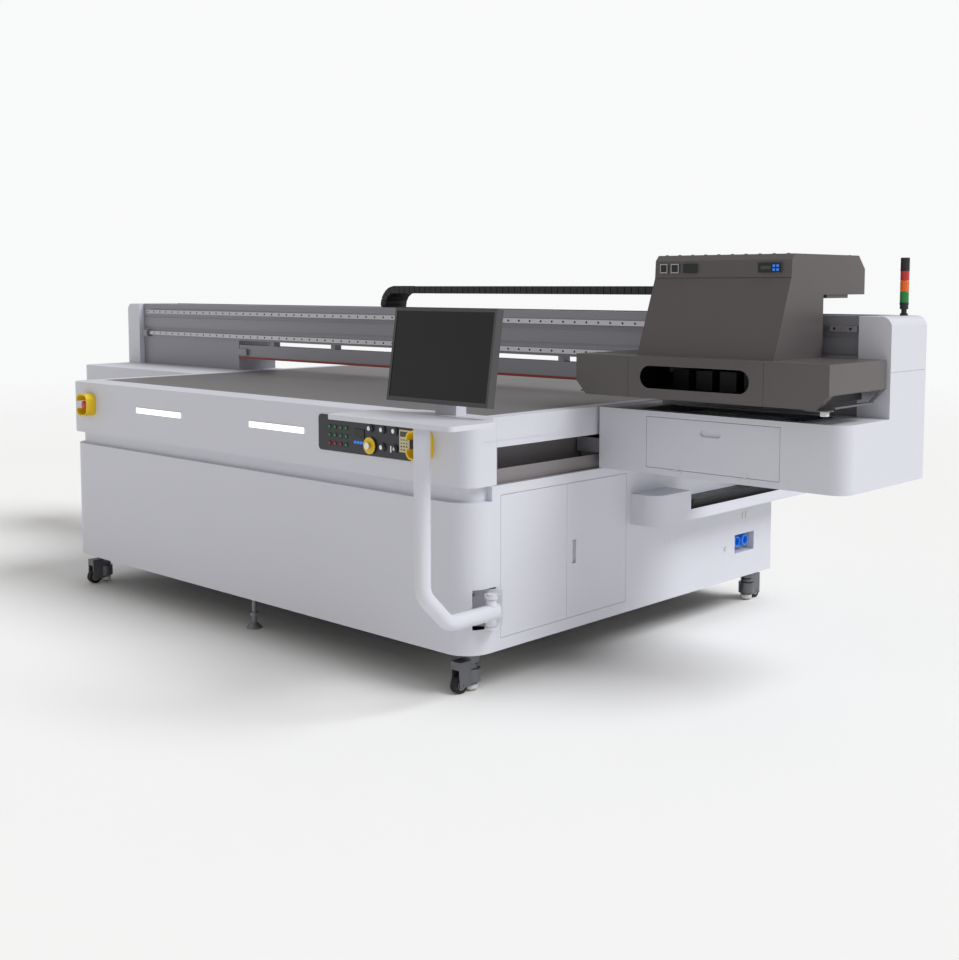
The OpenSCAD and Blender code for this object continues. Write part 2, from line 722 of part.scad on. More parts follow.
// One cabinet door: a folded tray, hollow towards the inside.
module door(y0, grip) at_datum() color("gainsboro") {
    y1 = y0 + door_w - 1.5 * door_gap;
    z0 = door_z + door_gap;
    z1 = door_z + door_h - door_gap;
    difference() {
        block([-door_t, y0, z0], [0, y1, z1]);
        block([-door_t - 1, y0 + skin, z0 + skin], [-skin, y1 - skin, z1 - skin]);
        if (grip > 0) block([-10, grip, 385], [1, grip + 22, 472]);
    }
    if (grip > 0) difference() {
        block([-15, grip - 3, 382], [-skin, grip + 25, 475]);
        block([-12, grip, 385], [1, grip + 22, 472]);
    }
}
module door_front() door(door_y + door_gap, 0);
module door_rear() door(door_y + door_w + door_gap / 2, door_y + door_w + 31);

// The beam's two hollow feet stand this far out from the base's left and right sides.
foot_in = 69;
foot_out = 60;
module beam_profile() difference() {
    union() {
        translate([beam_y, beam_low]) square([beam_wall, beam_top - beam_low]);
        translate([trough_y - 1, trough_z - 48]) square([box_back - trough_y + 1, 48]);
        translate([box_back - 8, trough_z - 48]) square([8, beam_top - trough_z + 48]);
    }
    translate([beam_y + 9, beam_low + 9]) square([beam_wall - 18, beam_top - beam_low - 18]);
    translate([trough_y + 6, trough_z - 42]) square([box_back - trough_y - 14, 36]);
    for (z = [rail_high_z - 28, rail_low_z + 29])
        translate([beam_y - 1, z - 4]) square([5, 8]);
}
module along_x(from, to) translate([from, 0, 0]) rotate([90, 0, 90]) linear_extrude(to - from)
    children();
module gantry_beam() at_datum() color("gray") {
    along_x(beam_left, beam_right) beam_profile();
    for (x = [[beam_left, left_x - foot_in], [foot_out, beam_right]]) difference() {
        block([x[0], beam_y, box_top], [x[1], box_back, beam_low]);
        block([x[0] + 8, beam_y + 8, box_top - 1], [x[1] - 8, box_back - 8, beam_low - 8]);
    }
}

// End tower: a housing open underneath, with its outer top edge rounded.
module tower(reach) {
    r = 37;
    difference() {
        tower_body(reach, r, 0);
        tower_body(reach, r, skin);
        block([reach - 1.5, tower_y - 1, beam_low - 1], [reach + 1, box_back + 1, beam_low + 1]);
    }
}
module tower_body(reach, r, inset)
    translate([0, box_back - inset, 0]) rotate([90, 0, 0])
    linear_extrude(box_back - tower_y - 2 * inset) {
        x0 = reach - tower_w + inset;
        x1 = reach - inset;
        z0 = inset > 0 ? box_top - 1 : box_top;
        z1 = beam_top - inset;
        translate([x0, z0]) square([x1 - x0, z1 - r - z0]);
        translate([x0, z0]) square([x1 - r - x0, z1 - z0]);
        translate([x1 - r, z1 - r]) circle(r = r - inset);
        translate([x1 - r, z1 - r]) square([r - inset - 0.01, 0.01]);
    }
module gantry_towers() at_datum() color("lightsteelblue") {
    tower(reach_right);
    mirrored() tower(reach_left);
}

// End box: a housing with a round outer front corner.
module box_plan(reach, inset) {
    r = box_r - inset;
    x0 = side_gap + inset;
    x1 = reach - inset;
    y0 = box_y + inset;
    translate([x0, y0]) square([x1 - r - x0, box_d - 2 * inset]);
    translate([x0, y0 + r]) square([x1 - x0, box_d - 2 * inset - r]);
    translate([x1 - r, y0 + r]) circle(r = r);
}
module box_shell(reach) difference() {
    translate([0, 0, box_z]) linear_extrude(box_top - box_z) box_plan(reach, 0);
    translate([0, 0, box_z + skin]) linear_extrude(box_top - box_z - 2 * skin)
        box_plan(reach, skin);
}
flap_x = [225, 762];
flap_z = [box_z + 23, box_top - 20];
slot_z = flap_z[1] - 44;    // middle of the flap's finger slot
flap_hinges = [332, 605];
flap_pin = 2;
well = [[150, 725], [820, 960]];
module station_box() at_datum() color("lightsteelblue") {
    difference() {
        box_shell(reach_right);
        block([flap_x[0], box_y - 1, flap_z[0]], [flap_x[1], box_y + skin + 1, flap_z[1]]);
        block([well[0][0], well[0][1], box_top - 10], [well[1][0], well[1][1], box_top + 1]);
        // the barrels of the flap's hinges
        for (x = flap_hinges)
            block([x + 11, box_y - 1, flap_z[0] - 3], [x + 35, box_y + 1.5, flap_z[0] + 1]);
    }
    // the hinges' fixed leaves, with a knuckle on each side of the flap's barrel
    for (x = flap_hinges) {
        block([x, box_y - flap_pin, flap_z[0] - 17], [x + 46, box_y + 1, flap_z[0] - 3]);
        for (a = [0, 35])
            block([x + a, box_y - flap_pin, flap_z[0] - 4], [x + a + 11, box_y + 1, flap_z[0]]);
    }
}
module left_box() at_datum() color("lightsteelblue") mirrored() difference() {
    box_shell(reach_left);
    block([0, box_y + 180, box_z + 110], [side_gap + 10, box_back - 60, box_top - 30]);
}
module station_door() at_datum() color("lightsteelblue") {
    g = 1.5;
    z1 = flap_z[1] - g;
    difference() {
        block([flap_x[0] + g, box_y, flap_z[0] + g], [flap_x[1] - g, box_y + 12, z1]);
        block([flap_x[0] + g + skin, box_y + skin, flap_z[0] + g + skin],
            [flap_x[1] - g - skin, box_y + 13, z1 - skin]);
        pull_slot(-1, 5);
    }
    difference() {
        block([447, box_y + skin, slot_z - 15], [537, box_y + 11, slot_z + 15]);
        pull_slot(-1, 8);
    }
    // two hinges on the lower edge: the flap's leaf and barrel
    for (x = flap_hinges) {
        rod(flap_pin, [x + 12, box_y - flap_pin, flap_z[0]], [x + 34, box_y - flap_pin, flap_z[0]]);
        block([x + 12, box_y - flap_pin, flap_z[0] + 1], [x + 34, box_y + skin, flap_z[0] + 15]);
    }
}
// Finger slot with round ends, from one depth behind the flap's face to another.
module pull_slot(from, to) {
    for (x = [462, 522]) rod(12, [x, box_y + from, slot_z], [x, box_y + to, slot_z]);
    block([462, box_y + from, slot_z - 12], [522, box_y + to, slot_z + 12]);
}

module capping_tray() at_datum() color("silver") {
    x0 = hood_l + 70;
    x1 = hood_r - 70;
    y0 = well[0][1] + 15;
    y1 = well[1][1] - 15;
    z1 = box_top - 14;
    leg = z1 - 30 - box_z - skin - slide_gap;
    difference() {
        block([x0, y0, z1 - 30], [x1, y1, z1]);
        for (i = [0:3], j = [0:1])
            block([x0 + 14 + i * 97, y0 + 12 + j * 94, z1 - 20],
                [x0 + 94 + i * 97, y0 + 92 + j * 94, z1 + 1]);
    }
    for (x = [x0 + 40, x1 - 40], y = [y0 + 30, y1 - 30])
        translate([x, y, box_z + skin + slide_gap]) cylinder(r = 9, h = leg);
}

// Arms that carry the gantry on the Y rails: four grooved bearing blocks and two beams.
module y_saddles() at_datum() color("silver") {
    arm_low = channel_low + 55;
    both_sides() difference() {
        union() {
            block([rail_x - 38, box_y + 20, arm_low], [side_gap, box_back - 20, arm_low + 54]);
            for (y = [box_y + 40, box_back - 160])
                block([rail_x - 34, y, channel_low + 14], [rail_x + 34, y + 120, arm_low]);
        }
        block([rail_x - rail_w / 2 - slide_gap, box_y, channel_low],
            [rail_x + rail_w / 2 + slide_gap, box_back, channel_low + 6 + rail_h + slide_gap]);
    }
    // bracket down to the Y cable chain
    block([20, box_back, box_z], [100, foot_y + 30, box_z + 30]);
    block([20, foot_y, side_chain_z + side_chain_r + 1], [100, foot_y + 30, box_z]);
}

module x_rails() at_datum() color("silver") for (z = [rail_high_z, rail_low_z])
    block([beam_left + 60, beam_y - 18, z - 10], [beam_right - 12, beam_y, z + 10]);

bar_z = beam_low - 83;      // the bar hangs this low under the beam
bar_h = 61;
module bridge_bar() at_datum() color("gray") {
    x0 = left_x - foot_in;
    block([x0, beam_y + 2, bar_z], [foot_out, beam_y + 50, bar_z + bar_h]);
    for (x = [x0 + 260 : 480 : foot_out - 30])
        block([x, beam_y + 6, bar_z + bar_h], [x + 30, beam_y + 46, beam_low]);
    block([x0 + 8, beam_y - 12, bar_z + 8], [x0 + 78, beam_y + 2, bar_z + 40]);
}
module safety_strip() at_datum() color("firebrick")
    block([left_x - foot_in, beam_y - 4, bar_z - 10], [foot_out, beam_y + 40, bar_z]);

mast = [reach_right - 46, 1163];
module stack_light_mast() at_datum() color([0.1, 0.1, 0.1]) translate([mast[0], mast[1], 0]) {
    translate([0, 0, beam_top]) cylinder(r = 13, h = 8);
    translate([0, 0, beam_top + 8]) cylinder(r = 9, h = 14);
    translate([0, 0, beam_top + 22]) cylinder(r = 14, h = 22);
    translate([0, 0, beam_top + 158]) cylinder(r = 15, h = 39);
}
module stack_light_lenses() at_datum() color("orange") translate([mast[0], mast[1], 0])
    for (i = [0:2]) translate([0, 0, beam_top + 44 + 38 * i]) cylinder(r = 15, h = 38);

module y_chain() at_datum() color([0.12, 0.12, 0.12]) {
    z = side_chain_z;
    for (low = [z - side_chain_r, z + side_chain_r - side_chain_h])
        block([side_chain_x[0], side_loop_y, low],
            [side_chain_x[1], side_loop_y + 717, low + side_chain_h]);
    difference() {
        rod(side_chain_r, [side_chain_x[0], side_loop_y, z], [side_chain_x[1], side_loop_y, z]);
        rod(side_chain_r - side_chain_h, [0, side_loop_y, z], [120, side_loop_y, z]);
        block([0, side_loop_y, z - 50], [120, side_loop_y + 50, z + 50]);
    }
}

chain_y = trough_y + 3;
module x_chain_loop() at_datum() color([0.12, 0.12, 0.12]) {
    difference() {
        rod(chain_r, [loop_x, chain_y, loop_z], [loop_x, chain_y + chain_w, loop_z]);
        rod(chain_r - chain_h, [loop_x, 0, loop_z], [loop_x, 2000, loop_z]);
        block([loop_x, 0, 0], [loop_x + 200, 2000, 2000]);
    }
    block([loop_x, chain_y, chain_floor], [hood_l, chain_y + chain_w, chain_floor + chain_h]);
}
module x_chain_upper() at_datum() color([0.12, 0.12, 0.12])
    block([loop_x, chain_y, chain_top - chain_h], [hood_l + 120, chain_y + chain_w, chain_top]);

// Vertical plate behind the carriage, with four bearing blocks on the X rails.
module carriage_plate() at_datum() color("silver") {
    block([hood_l + 30, car_back, car_z + 6], [hood_r - 30, car_back + 8, beam_top + 10]);
    difference() {
        for (x = [hood_l + 60, hood_r - 150], z = [rail_high_z, rail_low_z])
            block([x, car_back + 8, z - 24], [x + 90, beam_y - 2, z + 24]);
        for (z = [rail_high_z, rail_low_z])
            block([hood_l, beam_y - 18 - slide_gap, z - 10 - slide_gap],
                [hood_r, beam_y + 1, z + 10 + slide_gap]);
    }
    // end bracket of the cable chain, under the hood's tail
    chain_low = chain_top - chain_h;
    block([hood_l + 60, chain_y, chain_low - 6], [hood_l + 130, chain_y + chain_w, chain_low]);
    block([hood_l + 130, chain_y, chain_low - 6], [hood_l + 160, chain_y + chain_w, car_top + 213]);
}

// Lower cover: front, top and two sides, with cut lower corners and a long window.
module cover_profile(inset) {
    cut = [45, 48];
    x0 = car_left + inset;
    x1 = car_right - inset;
    z1 = car_top - inset;
    polygon([[x0, z1], [x0, car_z + cut[1]], [x0 + cut[0], car_z], [x1 - cut[0], car_z],
        [x1, car_z + cut[1]], [x1, z1]]);
}
module along_y(from, to) translate([0, to, 0]) rotate([90, 0, 0]) linear_extrude(to - from)
    children();
window = [283, 719];
module carriage_cover() at_datum() color([0.33, 0.31, 0.31]) {
    wz = car_z + 74;
    difference() {
        along_y(car_front, car_back) cover_profile(0);
        along_y(car_front + skin, car_back + 1) cover_profile(skin);
        block([car_left + 60, car_front + 30, car_z - 1],
            [car_right - 60, car_back + 1, car_z + 10]);
        block([hood_l + 10, car_front + 90, car_top - 10],
            [hood_r - 10, car_back + 1, car_top + 1]);
        along_y(car_front - 1, car_front + 10) {
            for (x = [car_left + window[0] + 39, car_left + window[1] - 39])
                translate([x, wz]) circle(r = 39);
            translate([car_left + window[0] + 39, wz - 39])
                square([window[1] - window[0] - 78, 78]);
        }
        // the right end is open below its top half
        block([car_right - 56, car_front + 30, car_z - 1],
            [car_right + 1, car_back - 30, car_z + 46]);
    }
}

// Upper housing: leaning front, upright band, and a tail that reaches back over the beam.
module hood_profile(inset) {
    z = car_top;
    y = car_front;
    t = inset;
    polygon([[y + 62 + 1.1 * t, z - (t > 0 ? 1 : 0)], [y + 165 + t, z + 271],
        [y + 168 + t, z + 331 - t / 2], [y + 186 + t / 2, z + hood_h - t],
        [y + 630 - t / 2, z + hood_h - t], [y + 677 - t, z + hood_h - 47 - t / 2],
        [y + 677 - t, z + 213 + t], [car_back - t, z + 213 + t],
        [car_back - t, z - (t > 0 ? 1 : 0)]]);
}
module carriage_hood() at_datum() color([0.33, 0.31, 0.31]) {
    difference() {
        along_x(hood_l, hood_r) hood_profile(0);
        along_x(hood_l + skin, hood_r - skin) hood_profile(skin);
        // way in for the cable chain
        block([hood_l - 1, chain_y - 4, chain_top - chain_h - 3],
            [hood_l + 126, chain_y + chain_w + 4, chain_top + 8]);
        // way out for the bearing plate
        block([hood_l + 26, car_back - 10, car_top - 1], [hood_r - 26, car_back + 1, beam_top + 14]);
    }
    block([hood_l + 160, car_back + 30, car_top + 201], [hood_r - 4, car_back + 180, car_top + 213]);
    // instruments on the band
    z = car_top + 288;
    y = car_front + 168;
    for (x = [[25, 56], [71, 104], [123, 179], [423, 510]])
        block([hood_l + x[0], y - 7, z], [hood_l + x[1], y + 2, z + 32]);
}

module print_heads() at_datum() color("darkslategray") {
    x0 = hood_l - 40;
    x1 = hood_r + 40;
    block([x0, car_front + 34, car_z + 14], [x1, car_back, car_z + 24]);
    for (i = [0:3], j = [0:1])
        block([hood_l + 84 + i * 97, car_front + 164 + j * 94, car_z - 8],
            [hood_l + 150 + i * 97, car_front + 224 + j * 94, car_z + 92]);
    for (x = [x0, x1 - 10]) block([x, car_front + 34, car_z + 24], [x + 10, car_back, car_z + 70]);
}
// Two curing lamps, hung from the lower cover's roof.
module uv_lamps() at_datum() color("gray") for (x = [car_left + 62, car_right - 172]) {
    difference() {
        block([x, car_front + 60, car_z + 12], [x + 108, car_back - 40, car_z + 110]);
        block([x + 14, car_front + 74, car_z + 11], [x + 94, car_back - 54, car_z + 30]);
    }
    for (y = [car_front + 90, car_back - 110])
        block([x, y, car_z + 110], [x + 108, y + 30, car_top - skin]);
}

base_frame();
front_panel();
front_fascia();
side_panels();
rear_panel();
side_caps();
vacuum_table();
rail_channels();
y_rails();
vacuum_blower();
electrical_cabinet();
ink_tanks();
cable_tray();
power_sockets();
front_lamps();
control_panel();
stop_guards();
arm_bracket();
caster_front_right();
caster_front_left();
caster_rear_right();
caster_rear_left();
wheel_front_right();
wheel_front_left();
wheel_rear_right();
wheel_rear_left();
door_front();
door_rear();
stop_button_right();
stop_button_left();
push_button_1();
push_button_2();
push_button_3();
push_button_4();
panel_stop_button();
key_switch();
console_arm();
console_shelf();
monitor();
monitor_glass();
gantry_beam();
gantry_towers();
station_box();
left_box();
y_saddles();
x_rails();
bridge_bar();
safety_strip();
stack_light_mast();
stack_light_lenses();
station_door();
capping_tray();
y_chain();
x_chain_loop();
x_chain_upper();
carriage_plate();
carriage_cover();
carriage_hood();
print_heads();
uv_lamps();
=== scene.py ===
"""Looks of a large-format flatbed UV printer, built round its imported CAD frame.

Lengths in the lists below are millimetres from the base's own corner: x from its right side,
y from its front face, z from the floor. place() turns them into the part's frame, in metres.
"""
import math

import bpy
import numpy as np
from mathutils import Matrix, Vector


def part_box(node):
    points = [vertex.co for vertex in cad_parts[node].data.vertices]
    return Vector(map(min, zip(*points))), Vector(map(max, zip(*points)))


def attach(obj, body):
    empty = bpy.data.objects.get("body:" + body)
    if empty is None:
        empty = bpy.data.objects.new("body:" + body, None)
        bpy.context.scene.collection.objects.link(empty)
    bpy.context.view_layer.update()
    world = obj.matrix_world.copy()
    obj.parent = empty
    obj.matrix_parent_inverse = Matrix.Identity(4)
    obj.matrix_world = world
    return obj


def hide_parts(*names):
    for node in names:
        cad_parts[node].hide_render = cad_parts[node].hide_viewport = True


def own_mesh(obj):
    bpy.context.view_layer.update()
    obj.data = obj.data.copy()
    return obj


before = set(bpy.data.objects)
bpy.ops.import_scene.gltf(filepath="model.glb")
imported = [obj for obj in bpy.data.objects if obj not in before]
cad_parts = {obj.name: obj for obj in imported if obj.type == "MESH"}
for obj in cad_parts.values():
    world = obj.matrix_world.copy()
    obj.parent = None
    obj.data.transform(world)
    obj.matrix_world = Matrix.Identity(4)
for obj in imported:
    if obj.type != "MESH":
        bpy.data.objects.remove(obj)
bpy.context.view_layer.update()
MM = 0.001
RIGHT_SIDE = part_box("side_panels")[1].x
FRONT_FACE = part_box("front_panel")[0].y


def place(points):
    """Millimetres from the base's corner to metres in the part's frame."""
    shift = np.array([RIGHT_SIDE, FRONT_FACE, 0.0])
    return np.asarray(points, float) * MM + shift


# ---------------------------------------------------------------- camera, light and floor

def make_camera():
    """A camera at a standing person's eye level, off the front right corner."""
    data = bpy.data.cameras.new("camera")
    data.sensor_width = 36.0
    data.lens = 48.15
    data.shift_y = -0.087
    data.clip_end = 200.0
    camera = bpy.data.objects.new("camera", data)
    bpy.context.scene.collection.objects.link(camera)
    turn = (Matrix.Rotation(math.radians(43.40), 4, "Z")
            @ Matrix.Rotation(math.radians(90.0 - 4.92), 4, "X"))
    camera.matrix_world = Matrix.Translation((4.2537, -3.8348, 1.3910)) @ turn
    bpy.context.scene.camera = camera


BACKDROP = (0.945, 0.95, 0.95, 1.0)


def make_studio():
    """Pale even surroundings, one broad soft key light from behind on the right."""
    world = bpy.data.worlds.new("studio")
    bpy.context.scene.world = world
    world.use_nodes = True
    tree = world.node_tree
    tree.nodes.clear()
    out = tree.nodes.new("ShaderNodeOutputWorld")
    ambient = tree.nodes.new("ShaderNodeBackground")
    ambient.inputs["Color"].default_value = (1.0, 0.985, 0.97, 1.0)
    ambient.inputs["Strength"].default_value = 0.50
    backdrop = tree.nodes.new("ShaderNodeBackground")
    backdrop.inputs["Color"].default_value = BACKDROP
    mix = tree.nodes.new("ShaderNodeMixShader")
    path = tree.nodes.new("ShaderNodeLightPath")
    tree.links.new(path.outputs["Is Camera Ray"], mix.inputs["Fac"])
    tree.links.new(ambient.outputs[0], mix.inputs[1])
    tree.links.new(backdrop.outputs[0], mix.inputs[2])
    tree.links.new(mix.outputs[0], out.inputs["Surface"])
    sun = bpy.data.lights.new("key", "SUN")
    sun.energy = 2.15
    sun.angle = math.radians(32.0)
    sun.color = (0.965, 0.98, 1.0)
    key = bpy.data.objects.new("key", sun)
    bpy.context.scene.collection.objects.link(key)
    key.rotation_mode = "QUATERNION"
    key.rotation_quaternion = Vector((0.60, 0.26, 0.76)).to_track_quat("Z", "Y")
    view = bpy.context.scene.view_settings
    view.view_transform = "Standard"
    view.look = "None"
    view.exposure = 0.0


make_camera()
make_studio()


# ---------------------------------------------------------------- colours and finishes

def srgb(hex_colour):
    """An sRGB hex colour as linear red, green, blue and 1."""
    values = [int(hex_colour[i:i + 2], 16) / 255.0 for i in (1, 3, 5)]
    linear = [v / 12.92 if v <= 0.04045 else ((v + 0.055) / 1.055) ** 2.4 for v in values]
    return (*linear, 1.0)


def add_node(tree, kind, inputs=None, links=None, **settings):
    """One shader node with its settings, input values and incoming links."""
    node = tree.nodes.new(kind)
    for name, value in settings.items():
        setattr(node, name, value)
    for name, value in (inputs or {}).items():
        node.inputs[name].default_value = value
    for name, output in (links or {}).items():
        tree.links.new(output, node.inputs[name])
    return node


def finish(name, colour, roughness, metallic=0.0, tone=0.05, cloud_mm=400.0, grain_mm=3.0,
           grain_depth_mm=0.05, rough_spread=0.08, drawn=(1.0, 1.0, 1.0), **sockets):
    """A solid finish: colour in soft clouds of cloud_mm, grain of grain_mm as relief, and the
    same clouds in its roughness. drawn stretches the grain along an axis, as brushing does."""
    material = bpy.data.materials.new(name)
    material.use_nodes = True
    tree = material.node_tree
    tree.nodes.clear()
    where = add_node(tree, "ShaderNodeTexCoord")
    clouds = add_node(tree, "ShaderNodeTexNoise", {"Scale": 1000.0 / cloud_mm, "Detail": 3.0},
                      {"Vector": where.outputs["Object"]})
    stretched = add_node(tree, "ShaderNodeMapping", {"Scale": drawn},
                         {"Vector": where.outputs["Object"]})
    grain = add_node(tree, "ShaderNodeTexNoise", {"Scale": 1000.0 / grain_mm, "Detail": 2.0},
                     {"Vector": stretched.outputs["Vector"]})
    base = srgb(colour)
    dark = tuple(c * (1.0 - tone) for c in base[:3]) + (1.0,)
    light = tuple(min(1.0, c * (1.0 + tone)) for c in base[:3]) + (1.0,)
    tint = add_node(tree, "ShaderNodeMix", data_type="RGBA")
    tint.inputs[6].default_value = dark
    tint.inputs[7].default_value = light
    tree.links.new(clouds.outputs["Fac"], tint.inputs[0])
    rough = add_node(tree, "ShaderNodeMapRange",
                     {"From Min": 0.3, "From Max": 0.7,
                      "To Min": max(0.02, roughness - rough_spread / 2),
                      "To Max": min(1.0, roughness + rough_spread / 2)},
                     {"Value": clouds.outputs["Fac"]})
    relief = add_node(tree, "ShaderNodeBump", {"Strength": 0.6, "Distance": grain_depth_mm * MM},
                      {"Height": grain.outputs["Fac"]})
    shader = add_node(tree, "ShaderNodeBsdfPrincipled", {"Metallic": metallic, **sockets},
                      {"Base Color": tint.outputs[2], "Roughness": rough.outputs["Result"],
                       "Normal": relief.outputs["Normal"]})
    add_node(tree, "ShaderNodeOutputMaterial", None, {"Surface": shader.outputs["BSDF"]})
    return material


# Baked powder coat on sheet steel: even, slightly lavender grey, fine orange-peel sheen.
LIGHT_COAT = finish("light_powder_coat", "#D2D3DB", 0.48, grain_mm=2.5, grain_depth_mm=0.06,
                    tone=0.018)
# The carriage's powder coat: warm dark grey, a little glossier.
DARK_COAT = finish("dark_powder_coat", "#5A5555", 0.40, grain_mm=2.5, grain_depth_mm=0.06,
                   tone=0.05)
# Same coat in the channels beside the table, flatter because it is only primed.
CHANNEL_COAT = finish("channel_coat", "#807B7D", 0.55, tone=0.06)
# Hard-anodised table plate: dense dark grey with a faint sheen.
TABLE_PLATE = finish("hard_anodised_plate", "#6C6A6B", 0.42, tone=0.05, cloud_mm=600.0,
                     grain_mm=1.5, grain_depth_mm=0.03)
# Anodised aluminium extrusion: drawn lines along X.
BEAM_ALLOY = finish("anodised_extrusion", "#94939A", 0.42, metallic=0.35, tone=0.04,
                    grain_mm=2.0, drawn=(0.03, 1.0, 1.0), grain_depth_mm=0.04)
# Ground steel of rails and plates: bright, lines along the rail.
GROUND_STEEL = finish("ground_steel", "#B6B6BA", 0.28, metallic=0.9, tone=0.05, grain_mm=1.5,
                      drawn=(0.04, 0.3, 1.0), grain_depth_mm=0.02)
FRAME_STEEL = finish("frame_paint", "#4A4B4E", 0.5, tone=0.08)
CAST_ZINC = finish("cast_zinc", "#8E8F93", 0.38, metallic=0.55, tone=0.10, grain_mm=2.0)
CASTER_STEEL = finish("caster_steel", "#6C6D71", 0.36, metallic=0.5, tone=0.10, grain_mm=2.0)
DARK_MODULE = finish("dark_module", "#1C1C1E", 0.5, tone=0.1)
GUNMETAL = finish("gunmetal_case", "#2C2C2F", 0.45, metallic=0.3, tone=0.1)
CHROME = finish("chrome_plate", "#D8D8DA", 0.12, metallic=1.0, tone=0.02, grain_depth_mm=0.005)
BLACK_NYLON = finish("black_nylon", "#1E1E20", 0.48, tone=0.12, cloud_mm=60.0,
                     grain_mm=1.5, grain_depth_mm=0.05)
RUBBER = finish("black_rubber", "#161616", 0.7, tone=0.2, cloud_mm=30.0)
PANEL_FILM = finish("panel_film", "#2E2F34", 0.42, tone=0.05)
YELLOW_ABS = finish("yellow_abs", "#E6C21A", 0.34, tone=0.03)
RED_ABS = finish("red_abs", "#C0271F", 0.32, tone=0.05)
BLUE_ABS = finish("blue_abs", "#2583EA", 0.35, tone=0.05)
WHITE_PE = finish("tank_polyethylene", "#D6D6D0", 0.5, tone=0.04)
RED_PAINT = finish("red_paint", "#97342B", 0.45, tone=0.06)
BEIGE_ABS = finish("beige_abs", "#CDBFA0", 0.45, tone=0.03)
BEZEL_ABS = finish("bezel_abs", "#4A484A", 0.36, tone=0.04, grain_mm=1.5)
GREY_LCD = finish("grey_lcd", "#3A4038", 0.2, tone=0.05)
BLACK_LCD = finish("black_lcd", "#0B0C0E", 0.22, tone=0.1)


def glowing(name, colour, strength, roughness=0.3):
    """A lit diffuser: a plastic that also gives off its own colour."""
    return finish(name, colour, roughness, tone=0.01,
                  **{"Emission Color": srgb(colour), "Emission Strength": strength})


LAMP_WHITE = glowing("lit_white_diffuser", "#FFFFFF", 1.0)
LAMP_GREEN = glowing("green_lens", "#1F8A4A", 0.10)
LAMP_RED = glowing("red_lens", "#B3202A", 0.10)
LAMP_BLUE = glowing("blue_lens", "#2A7CE6", 0.35)
SIGNAL_GREEN = glowing("signal_green", "#1E7A3C", 0.12, 0.2)
SIGNAL_AMBER = glowing("signal_amber", "#D9641E", 0.15, 0.2)
SIGNAL_RED = glowing("signal_red", "#B52A2A", 0.12, 0.2)


def painted(node_name, material):
    """Give a CAD node its finish."""
    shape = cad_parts[node_name]
    if not shape.material_slots:
        shape.data.materials.append(material)
    for slot in shape.material_slots:
        slot.material = material


# ---------------------------------------------------------------- shapes

def piece(name, points, faces, body, material, slot_name, replaces=(), smooth=False):
    """A mesh from arrays of points (part's frame, metres) and faces, riding on one body."""
    mesh = bpy.data.meshes.new(name)
    mesh.from_pydata(np.asarray(points).tolist(), [], [list(map(int, f)) for f in faces])
    mesh.validate()
    if smooth:
        mesh.polygons.foreach_set("use_smooth", np.ones(len(mesh.polygons), bool))
    mesh.materials.append(material)
    mesh.update()
    shape = bpy.data.objects.new(name, mesh)
    bpy.context.scene.collection.objects.link(shape)
    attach(shape, body)
    if replaces:
        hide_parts(*replaces)
    return shape


def rounded(shape, width_mm, segments=2):
    """Ease a piece's edges with a live bevel, as a mould or a press brake does."""
    bevel = shape.modifiers.new("edges", "BEVEL")
    bevel.width = width_mm * MM
    bevel.segments = segments
    bevel.limit_method = "ANGLE"
    bevel.angle_limit = math.radians(35.0)
    return shape


CUBE = np.array([[i, j, k] for i in (0, 1) for j in (0, 1) for k in (0, 1)], float)
CUBE_FACES = np.array([[0, 1, 3, 2], [4, 6, 7, 5], [0, 4, 5, 1], [2, 3, 7, 6],
                       [0, 2, 6, 4], [1, 5, 7, 3]])


def blocks(lows, highs):
    """Many boxes as one mesh: a unit cube's corners scaled to each low-high pair."""
    lows, highs = np.atleast_2d(lows).astype(float), np.atleast_2d(highs).astype(float)
    points = lows[:, None, :] + CUBE[None] * (highs - lows)[:, None, :]
    faces = CUBE_FACES[None] + 8 * np.arange(len(lows))[:, None, None]
    return place(points.reshape(-1, 3)), faces.reshape(-1, 4)


def turned(profile, centres, axis, sides=32):
    """Lathe work: (distance along the axis, radius) pairs swung round the axis, at each
    centre. The two ends close on the axis."""
    profile = np.asarray(profile, float)
    centres = np.atleast_2d(centres).astype(float)
    rings = len(profile)
    angle = np.arange(sides) * 2 * np.pi / sides
    axis = np.asarray(axis, float) / np.linalg.norm(axis)
    side = np.cross(axis, [0.0, 0.0, 1.0] if abs(axis[2]) < 0.9 else [1.0, 0.0, 0.0])
    side /= np.linalg.norm(side)
    up = np.cross(axis, side)
    spoke = np.cos(angle)[:, None] * side + np.sin(angle)[:, None] * up
    one = (profile[:, 0, None, None] * axis + profile[:, 1, None, None] * spoke[None])
    points = (centres[:, None, None, :] + one[None]).reshape(-1, 3)
    r, s = np.meshgrid(np.arange(rings - 1), np.arange(sides), indexing="ij")
    n = (s + 1) % sides
    quads = np.stack([r * sides + s, r * sides + n, (r + 1) * sides + n, (r + 1) * sides + s],
                     -1).reshape(-1, 4)
    faces = []
    for k in range(len(centres)):
        base = k * rings * sides
        faces += (quads + base).tolist()
        faces.append([base + i for i in range(sides)][::-1])
        faces.append([base + (rings - 1) * sides + i for i in range(sides)])
    return place(points), faces


